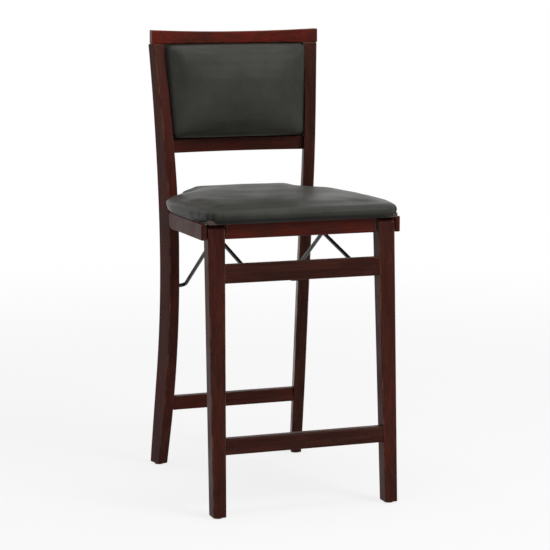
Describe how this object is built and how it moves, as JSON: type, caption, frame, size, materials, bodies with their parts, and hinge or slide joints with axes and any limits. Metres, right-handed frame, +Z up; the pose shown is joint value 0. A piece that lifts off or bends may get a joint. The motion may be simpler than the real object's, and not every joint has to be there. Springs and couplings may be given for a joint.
{
  "type": "folding counter stool",
  "caption": "Folding counter-height stool: curved wooden rear frame with padded back, padded seat, raked front legs with a footrest and wire braces; the seat folds up to the back.",
  "frame": {"origin": "on the floor, at the centre of the open stool's outline", "axes": "+Z up; the stool faces -Y; left (-X) and right (+X) are as seen from the front"},
  "size_m": [0.428, 0.5001, 0.94],
  "materials": {
    "lacquered_wood": "dark brown satin lacquer over fine straight grain",
    "board_wood": "dark stained plywood",
    "vinyl": "charcoal brown upholstery vinyl, satin",
    "black_steel": "black coated steel, satin",
    "glide_plastic": "dark brown moulded plastic"
  },
  "bodies": {
    "rear_frame": {"rear_post_left": "lacquered_wood", "rear_post_right": "lacquered_wood", "crest_rail": "lacquered_wood", "lower_back_rail": "lacquered_wood", "back_panel": "board_wood", "back_pad": "vinyl", "rear_stretcher": "lacquered_wood", "hinge_plate_left": "black_steel", "hinge_plate_right": "black_steel", "seat_hinge_pins": "black_steel", "rear_glides": "glide_plastic"},
    "seat": {"seat_board": "board_wood", "seat_pad": "vinyl", "side_apron_left": "lacquered_wood", "side_apron_right": "lacquered_wood", "front_apron": "lacquered_wood", "seat_bearer_left": "lacquered_wood", "seat_bearer_right": "lacquered_wood", "leg_pivot_bolts": "black_steel", "leg_washers": "black_steel"},
    "front_legs": {"front_leg_left": "lacquered_wood", "front_leg_right": "lacquered_wood", "upper_stretcher": "lacquered_wood", "footrest": "lacquered_wood", "front_glides": "glide_plastic"},
    "rear_brace_left": {"rear_link_left": "black_steel", "knee_rivet_left": "black_steel"},
    "rear_brace_right": {"rear_link_right": "black_steel", "knee_rivet_right": "black_steel"},
    "front_brace_left": {"front_link_left": "black_steel"},
    "front_brace_right": {"front_link_right": "black_steel"}
  },
  "joints": [
    {"name": "seat_fold", "type": "hinge", "parent": "rear_frame", "child": "seat", "pos_m": [0, 0.098, 0.566], "axis": [-1, 0, 0], "range_deg": [0, 80]},
    {"name": "leg_fold", "type": "hinge", "parent": "seat", "child": "front_legs", "pos_m": [0, -0.207, 0.563], "axis": [1, 0, 0], "range_deg": [0, 84.1]},
    {"name": "rear_brace_left_turn", "type": "hinge", "parent": "rear_frame", "child": "rear_brace_left", "pos_m": [-0.143, 0.168, 0.4], "axis": [-1, 0, 0], "range_deg": [0, 31]},
    {"name": "front_brace_left_turn", "type": "hinge", "parent": "rear_brace_left", "child": "front_brace_left", "pos_m": [-0.1163, -0.0345, 0.53], "axis": [-1, 0, 0], "range_deg": [0, 69.6]},
    {"name": "rear_brace_right_turn", "type": "hinge", "parent": "rear_frame", "child": "rear_brace_right", "pos_m": [0.143, 0.168, 0.4], "axis": [-1, 0, 0], "range_deg": [0, 31]},
    {"name": "front_brace_right_turn", "type": "hinge", "parent": "rear_brace_right", "child": "front_brace_right", "pos_m": [0.1163, -0.0345, 0.53], "axis": [-1, 0, 0], "range_deg": [0, 69.6]}
  ],
  "couplings": [
    {"joint": "leg_fold", "follows": "seat_fold", "ratio": 1.05},
    {"joint": "rear_brace_left_turn", "follows": "seat_fold", "ratio": 0.385},
    {"joint": "front_brace_left_turn", "follows": "seat_fold", "ratio": 0.868},
    {"joint": "rear_brace_right_turn", "follows": "seat_fold", "ratio": 0.385},
    {"joint": "front_brace_right_turn", "follows": "seat_fold", "ratio": 0.868}
  ]
}
